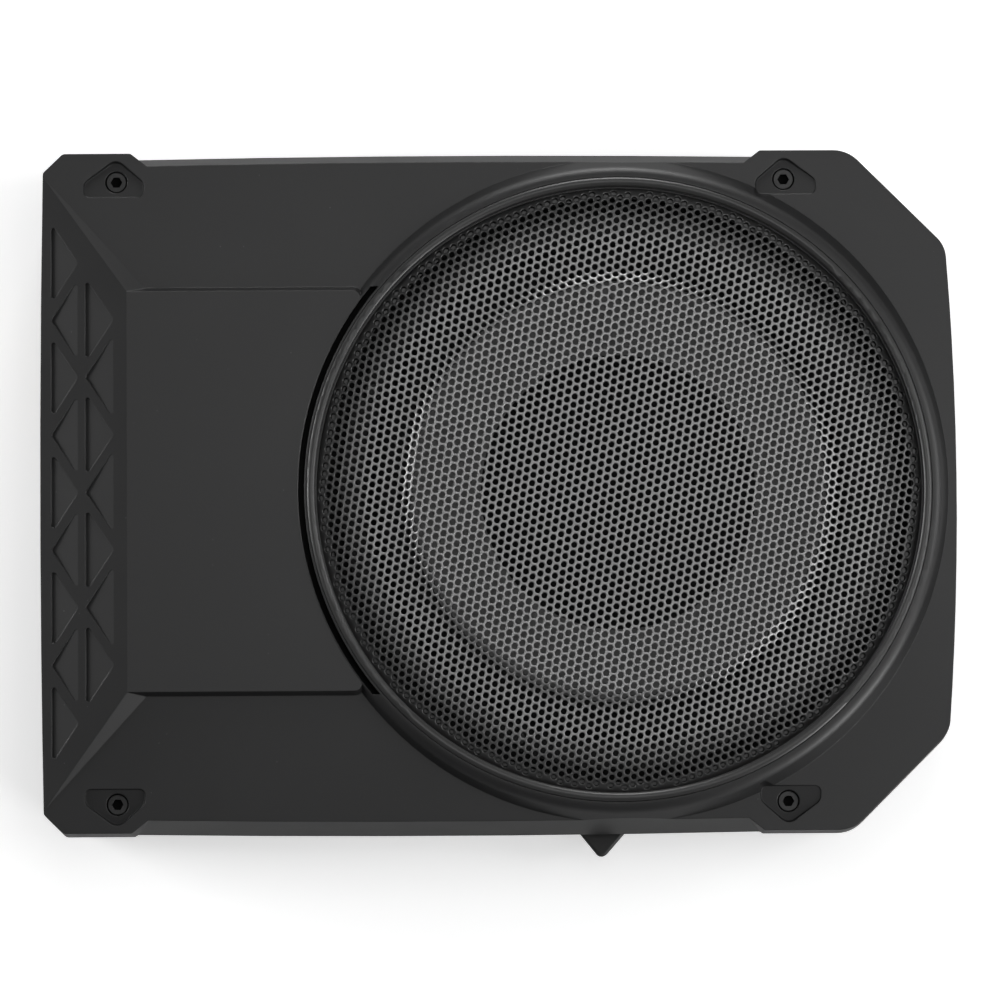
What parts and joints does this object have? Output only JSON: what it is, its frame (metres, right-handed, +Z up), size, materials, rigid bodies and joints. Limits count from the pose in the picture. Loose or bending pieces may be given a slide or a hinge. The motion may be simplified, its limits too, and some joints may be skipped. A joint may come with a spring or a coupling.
{
  "type": "powered car subwoofer",
  "caption": "Flat under-seat powered subwoofer: drafted case with a cast tray, perforated domed grille over a shallow woofer, and an amplifier end with controls and sockets.",
  "frame": {"origin": "centre of the four bracket holes, on the flat underside of the base tray; the rubber feet stand below it", "axes": "+X towards the loudspeaker end, +Y across the case, +Z up through the grille"},
  "size_m": [0.3638, 0.2799, 0.075],
  "materials": {
    "case_plastic": "fine satin texture, black",
    "trim_plastic": "satin black",
    "tray_metal": "cast aluminium with a fine black powder coat",
    "grille_steel": "perforated steel with a satin black coat",
    "black_screw": "black oxide",
    "zinc_steel": "zinc plated",
    "rubber": "matt black rubber",
    "foam": "closed cell foam",
    "cone_paper": "pressed grey fibre with a coated face",
    "cap_paper": "coated dark fibre",
    "spider_cloth": "resin-dipped cloth",
    "coil_copper": "enamelled copper",
    "former_film": "thin sheet",
    "ferrite": "sintered ferrite",
    "board_green": "glass fibre board with solder mask",
    "black_plastic": "moulded black",
    "capacitor_sleeve": "shrink sleeve",
    "pad_grey": "thermal silicone",
    "plate_metal": "black coated plate",
    "brass": "nickel-free brass",
    "nickel": "nickel plated",
    "knob_plastic": "moulded black",
    "fuse_plastic": "translucent amber",
    "insert_plastic": "moulded",
    "socket_plastic": "natural nylon",
    "led_lens": "tinted",
    "wire_red": "insulation"
  },
  "bodies": {
    "housing": {"amplifier_board": "board_green", "back_plate": "zinc_steel", "base_tray": "tray_metal", "board_screws": "zinc_steel", "capacitors": "capacitor_sleeve", "clamp_bars": "zinc_steel", "clamp_screws": "zinc_steel", "control_plate": "plate_metal", "control_plate_screws": "black_screw", "cover_screws": "black_screw", "cover_seal": "foam", "filter_inductors": "coil_copper", "foot_screws": "zinc_steel", "fuse_holder": "black_plastic", "grille_mesh": "grille_steel", "grille_ring": "trim_plastic", "input_pins": "brass", "line_input_socket": "socket_plastic", "magnet_ring": "ferrite", "pot_cases": "zinc_steel", "power_led": "led_lens", "power_terminal": "black_plastic", "power_transistors": "black_plastic", "rca_housing": "black_plastic", "rca_inserts": "insert_plastic", "rca_shells": "nickel", "remote_port": "black_plastic", "rubber_feet": "rubber", "side_bumper": "rubber", "speaker_wires": "wire_red", "spider": "spider_cloth", "surround": "rubber", "switch_cases": "zinc_steel", "terminal_plates": "brass", "terminal_screws": "nickel", "terminal_strip": "black_plastic", "thermal_pads": "pad_grey", "tinsel_leads": "coil_copper", "top_cover": "case_plastic", "top_plate": "zinc_steel", "toroid_core": "ferrite", "toroid_winding": "coil_copper", "woofer_basket": "grille_steel", "woofer_gasket": "foam", "woofer_screws": "black_screw"},
    "cone_assembly": {"cone": "cone_paper", "dust_cap": "cap_paper", "voice_coil_former": "former_film", "voice_coil": "coil_copper"},
    "gain_control": {"gain_shaft": "nickel", "gain_knob": "knob_plastic"},
    "lowpass_control": {"lowpass_shaft": "nickel", "lowpass_knob": "knob_plastic"},
    "bass_boost_control": {"bass_boost_shaft": "nickel", "bass_boost_knob": "knob_plastic"},
    "phase_control": {"phase_slider": "knob_plastic"},
    "mode_control": {"mode_slider": "knob_plastic"},
    "fuse_cartridge": {"main_fuse": "fuse_plastic"}
  },
  "joints": [
    {"name": "cone_travel", "type": "slide", "parent": "housing", "child": "cone_assembly", "axis": [0, 0, 1], "range_m": [-0.005, 0.005], "deforming": ["surround", "spider", "tinsel_leads"]},
    {"name": "gain_turn", "type": "hinge", "parent": "housing", "child": "gain_control", "pos_m": [-0.172, -0.0582, 0.0175], "axis": [-1, 0, 0], "range_deg": [-150, 150]},
    {"name": "lowpass_turn", "type": "hinge", "parent": "housing", "child": "lowpass_control", "pos_m": [-0.172, -0.0717, 0.0175], "axis": [-1, 0, 0], "range_deg": [-150, 150]},
    {"name": "bass_boost_turn", "type": "hinge", "parent": "housing", "child": "bass_boost_control", "pos_m": [-0.172, -0.0852, 0.0175], "axis": [-1, 0, 0], "range_deg": [-150, 150]},
    {"name": "phase_slide", "type": "slide", "parent": "housing", "child": "phase_control", "axis": [0, -1, 0], "range_m": [0, 0.004]},
    {"name": "mode_slide", "type": "slide", "parent": "housing", "child": "mode_control", "axis": [0, -1, 0], "range_m": [-0.003, 0.003]},
    {"name": "fuse_pull", "type": "slide", "parent": "housing", "child": "fuse_cartridge", "axis": [-1, 0, 0], "range_m": [0, 0.014]}
  ]
}
